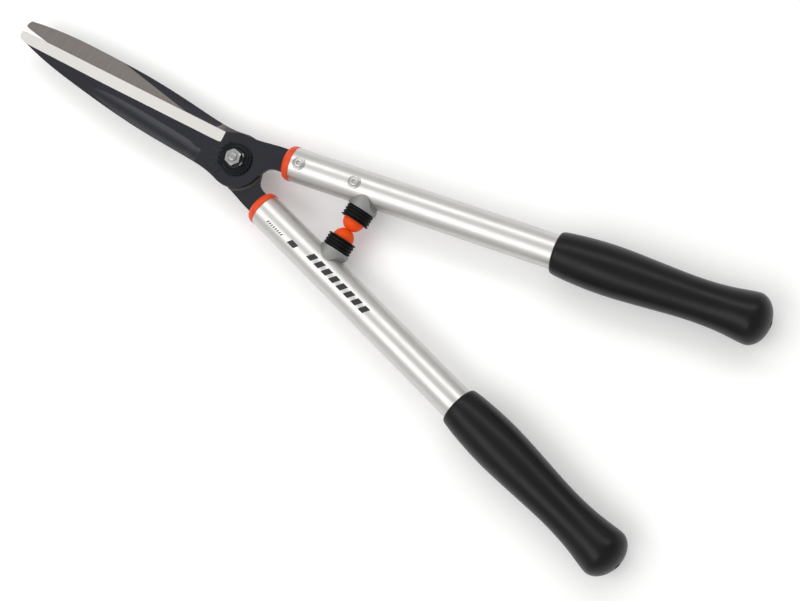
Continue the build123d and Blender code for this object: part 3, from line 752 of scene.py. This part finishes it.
def blade_finish(half):
    """Blue-black lacquer, ground bright on the bevel and grey on the bearing parts of the inner face."""
    metal = sizes("metal")
    mix = Finish(f"Forged {half} blade", Specular_IOR_Level=0.42)
    side = 1 if half == "upper" else -1
    local = mix.mapped(mix.place, scale=(1, side, side), location=(-PIVOT.x, 0, -side * PIVOT.z))
    split = mix.node("ShaderNodeSeparateXYZ", {0: local}).outputs
    edge = mix.mapped(local, "TEXTURE", location=HEEL, rotation=(0, 0, EDGE_LEAN))
    along = mix.node("ShaderNodeSeparateXYZ", {0: edge}).outputs
    # Height of the outer face, which thins towards the tip.
    outer = mix.spread(split[0], *BLADE_HEIGHT, *TAPER)
    bevel = mix.all_of(
        mix.above(along[0], -0.04 * MM),
        mix.below(along[1], BEVEL_WIDTH, 0.1 * MM),
        mix.below(mix.math("SUBTRACT", split[2], outer), -0.05 * MM),
        mix.above(split[2], FACE_GAP + 0.1 * MM),
    )
    flat = mix.mapped(local, scale=(1, 1, 0))
    radius = mix.node("ShaderNodeVectorMath", {0: flat}, operation="LENGTH").outputs["Value"]
    bearing = mix.math("MAXIMUM", mix.above(split[0], 8 * MM, 0.3 * MM), mix.below(radius, PAD_RADIUS))
    # The hollow along the back of the inner face: round at its start, running out to a point.
    width = mix.spread(split[0], HOLLOW_WIDTH, 0, *HOLLOW)
    rounding = mix.math("SQRT", mix.spread(split[0], 0, 1, HOLLOW[0], HOLLOW[0] + HOLLOW_ROUND))
    aside = mix.math("ABSOLUTE", mix.math("SUBTRACT", split[1], HOLLOW_LINE))
    inside = mix.math("SUBTRACT", mix.math("MULTIPLY", width, rounding), aside)
    inner_face = mix.below(split[2], FACE_GAP + 0.04 * MM, 0.012 * MM)
    inner = mix.all_of(inner_face, bearing, mix.below(inside, 0, 0.05 * MM))
    ground = mix.math("MAXIMUM", bevel, inner)
    # Lacquer, with a little orange peel and rubbed corners.
    peel = mix.noise(mix.place, 900, 3)
    cloud = mix.noise(mix.place, 45, 5)
    normal, worn = mix.worn_edges(0.45 * MM)
    lacquer = mix.blend(mix.spread(cloud, 0, 1), deeper(metal.lacquer, 0.8), deeper(metal.lacquer, 1.25))
    rubbed = mix.math("MULTIPLY", worn, mix.spread(mix.noise(mix.place, 500, 4), 0.0, 0.7, 0.42, 0.66))
    lacquer = mix.blend(rubbed, lacquer, (0.16, 0.16, 0.165))
    # Grinding marks run across the edge.
    marks = mix.noise(mix.mapped(edge, scale=(1, 0.02, 0.02)), 5200, 3)
    broad = mix.noise(mix.mapped(edge, scale=(1, 0.06, 0.06)), 700, 2)
    bright = mix.blend(mix.spread(marks, 0, 1), deeper(metal.bevel, 0.9), metal.bevel)
    grey = mix.blend(mix.spread(broad, 0, 1), deeper(metal.ground, 0.88), metal.ground)
    # The face round the pivot, up to about 28 mm along the blade, is darker.
    grey = mix.blend(mix.below(split[0], 28 * MM, 3 * MM), grey, deeper(metal.ground, 0.5))
    steel = mix.blend(bevel, grey, bright)
    height = mix.math("ADD", mix.math("MULTIPLY", peel, mix.math("SUBTRACT", 1.0, ground)),
                      mix.math("MULTIPLY", marks, mix.math("MULTIPLY", ground, 0.5)))
    polish = {0: ground, 2: mix.spread(peel, 0.27, 0.33), 3: mix.spread(marks, 0.38, 0.5)}
    return mix.wire(
        Base_Color=mix.blend(ground, lacquer, steel),
        Metallic=mix.math("ADD", ground, mix.math("MULTIPLY", rubbed, 0.5), clamp=True),
        Roughness=mix.node("ShaderNodeMix", polish).outputs[0],
        Normal=mix.relief(height, 0.012 * MM, normal),
    )


def dress(finish, *nodes):
    """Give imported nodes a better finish."""
    for node in nodes:
        for slot in frame["nodes"][node].material_slots:
            slot.material = finish


class SHEARS_OT_blades(bpy.types.Operator):
    """Finish the forged blades"""

    bl_idname = "shears.blades"
    bl_label = "Blades"

    def execute(self, context):
        for half in HALVES:
            dress(blade_finish(half), f"{half}_blade")
        return {"FINISHED"}


class SHEARS_OT_handles(bpy.types.Operator):
    """Finish the tubes, collars and bosses"""

    bl_idname = "shears.handles"
    bl_label = "Tubes, collars and bosses"

    def execute(self, context):
        metal = sizes("metal")
        collar = plain_finish("Collar polymer", metal.orange, (0.36, 0.46), 1500, 0.015 * MM, patch=110,
                              variation=0.86, edge=deeper(metal.orange, 1.1), Specular_IOR_Level=0.25)
        cast = plain_finish("Cast boss", metal.cast, (0.48, 0.62), 1400, 0.05 * MM, metal=0.85, patch=150,
                            variation=0.85, edge=(0.62, 0.62, 0.6), edge_radius=0.4 * MM)
        for half in HALVES:
            dress(tube_finish(half), f"{half}_tube")
            dress(collar, f"{half}_collar")
            dress(cast, f"{half}_boss")
            dress(zinc_finish(f"Boss screw {half}"), f"{half}_boss_screw")
        return {"FINISHED"}


class SHEARS_OT_pivot(bpy.types.Operator):
    """Finish the pivot's bolt, nut, washer, cover, spring and bush"""

    bl_idname = "shears.pivot"
    bl_label = "Pivot"

    def execute(self, context):
        metal = sizes("metal")
        dress(zinc_finish("Pivot zinc", 0.62), "pivot_bolt", "pivot_nut")
        dress(washer_finish(), "lock_washer")
        cover = plain_finish("Cover lacquer", metal.cover, (0.16, 0.24), 1300, 0.012 * MM, patch=200,
                             variation=0.7, edge=(0.03, 0.036, 0.045), Specular_IOR_Level=0.22)
        bronze = plain_finish("Bearing bronze", (0.55, 0.38, 0.18), (0.25, 0.35), 1500, 0.01 * MM, metal=1.0)
        spring = plain_finish("Spring steel", (0.35, 0.35, 0.37), (0.3, 0.4), 1500, 0.01 * MM, metal=1.0)
        dress(cover, "pivot_cover")
        dress(bronze, "pivot_bush")
        dress(spring, "disc_spring")
        return {"FINISHED"}


# ---------------------------------------------------------------- floor, light and camera


class SHEARS_OT_stage(bpy.types.Operator):
    """Lay the pale floor, hang the softboxes and set the camera"""

    bl_idname = "shears.stage"
    bl_label = "Stage"

    def execute(self, context):
        size = sizes("stage")
        self.floor()
        self.room(context, size.room)
        self.softbox("Key softbox", KEY_PLACE, size.key, 2.6, 0.5)
        self.softbox("Fill softbox", FILL_PLACE, size.fill, 2.4, 0.85)
        self.camera(context, size)
        return {"FINISHED"}

    def floor(self):
        low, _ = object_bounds()
        select_only()
        bpy.ops.mesh.primitive_plane_add(size=12, location=(0, 0, low[2]))
        floor = bpy.context.object
        floor.name = "floor"
        mix = Finish("Pale floor", Emission_Strength=0.12)
        cloud = mix.noise(mix.place, 3, 4)
        mix.wire(
            Base_Color=mix.blend(cloud, (0.86, 0.86, 0.86), (0.9, 0.9, 0.9)),
            Roughness=mix.spread(mix.noise(mix.place, 40, 3), 0.8, 0.9),
            Emission_Color=mix.blend(cloud, (1, 1, 1), (0.96, 0.96, 0.96)),
        )
        floor.data.materials.append(mix.material)
        floor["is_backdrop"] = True

    def room(self, context, strength):
        world = bpy.data.worlds.new("Room")
        world.use_nodes = True
        background = world.node_tree.nodes["Background"]
        background.inputs["Color"].default_value = (1.0, 0.995, 0.985, 1)
        background.inputs["Strength"].default_value = strength
        context.scene.world = world

    def softbox(self, name, place, power, length, width):
        select_only()
        turned = (place - LIGHT_AIM).to_track_quat("Z", "Y").to_euler()
        bpy.ops.object.light_add(type="AREA", location=place, rotation=turned)
        light = bpy.context.object
        light.name = name
        light.data.shape = "RECTANGLE"
        light.data.size = length
        light.data.size_y = width
        light.data.energy = power

    def camera(self, context, size):
        select_only()
        flat = cos(size.elevation)
        back = Vector((sin(size.azimuth) * flat, -cos(size.azimuth) * flat, sin(size.elevation)))
        level = UP.cross(back).normalized()
        turned = Matrix((level, back.cross(level), back)).transposed() @ Matrix.Rotation(size.roll, 3, "Z")
        bpy.ops.object.camera_add(location=VIEW_AIM + back * size.distance, rotation=turned.to_euler())
        camera = bpy.context.object
        camera.name = "camera"
        camera.data.lens = size.lens
        context.scene.camera = camera
        context.scene.view_settings.view_transform = "Standard"


# ---------------------------------------------------------------- the add-on's panel and registration


STEPS = (SHEARS_OT_blades, SHEARS_OT_handles, SHEARS_OT_pivot, SHEARS_OT_grips, SHEARS_OT_buffers,
         SHEARS_OT_tang_screws, SHEARS_OT_stage)
GROUPS = {
    "grip": SHEARS_PG_grip,
    "buffer": SHEARS_PG_buffer,
    "screw": SHEARS_PG_screw,
    "metal": SHEARS_PG_metal,
    "stage": SHEARS_PG_stage,
}


class SHEARS_PT_bench(bpy.types.Panel):
    """Sizes, colours and steps for the shears"""

    bl_idname = "SHEARS_PT_bench"
    bl_label = "Hedge shears"
    bl_space_type = "VIEW_3D"
    bl_region_type = "UI"
    bl_category = "Shears"

    def draw(self, context):
        for step in STEPS:
            self.layout.operator(step.bl_idname)
        for name in GROUPS:
            box = self.layout.box()
            group = sizes(name)
            for key in group.bl_rna.properties.keys():
                if key not in ("rna_type", "name"):
                    box.prop(group, key)


def register():
    for cls in (*GROUPS.values(), *STEPS, SHEARS_PT_bench):
        bpy.utils.register_class(cls)
    for name, group in GROUPS.items():
        setattr(bpy.types.Scene, f"shears_{name}", PointerProperty(type=group))


def unregister():
    for name in GROUPS:
        delattr(bpy.types.Scene, f"shears_{name}")
    for cls in reversed((*GROUPS.values(), *STEPS, SHEARS_PT_bench)):
        bpy.utils.unregister_class(cls)


def main():
    register()
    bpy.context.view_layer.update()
    bpy.ops.shears.blades()
    bpy.ops.shears.handles()
    bpy.ops.shears.pivot()
    bpy.ops.shears.grips()
    bpy.ops.shears.buffers()
    bpy.ops.shears.tang_screws()
    bpy.ops.shears.stage()


if __name__ == "__main__":
    main()
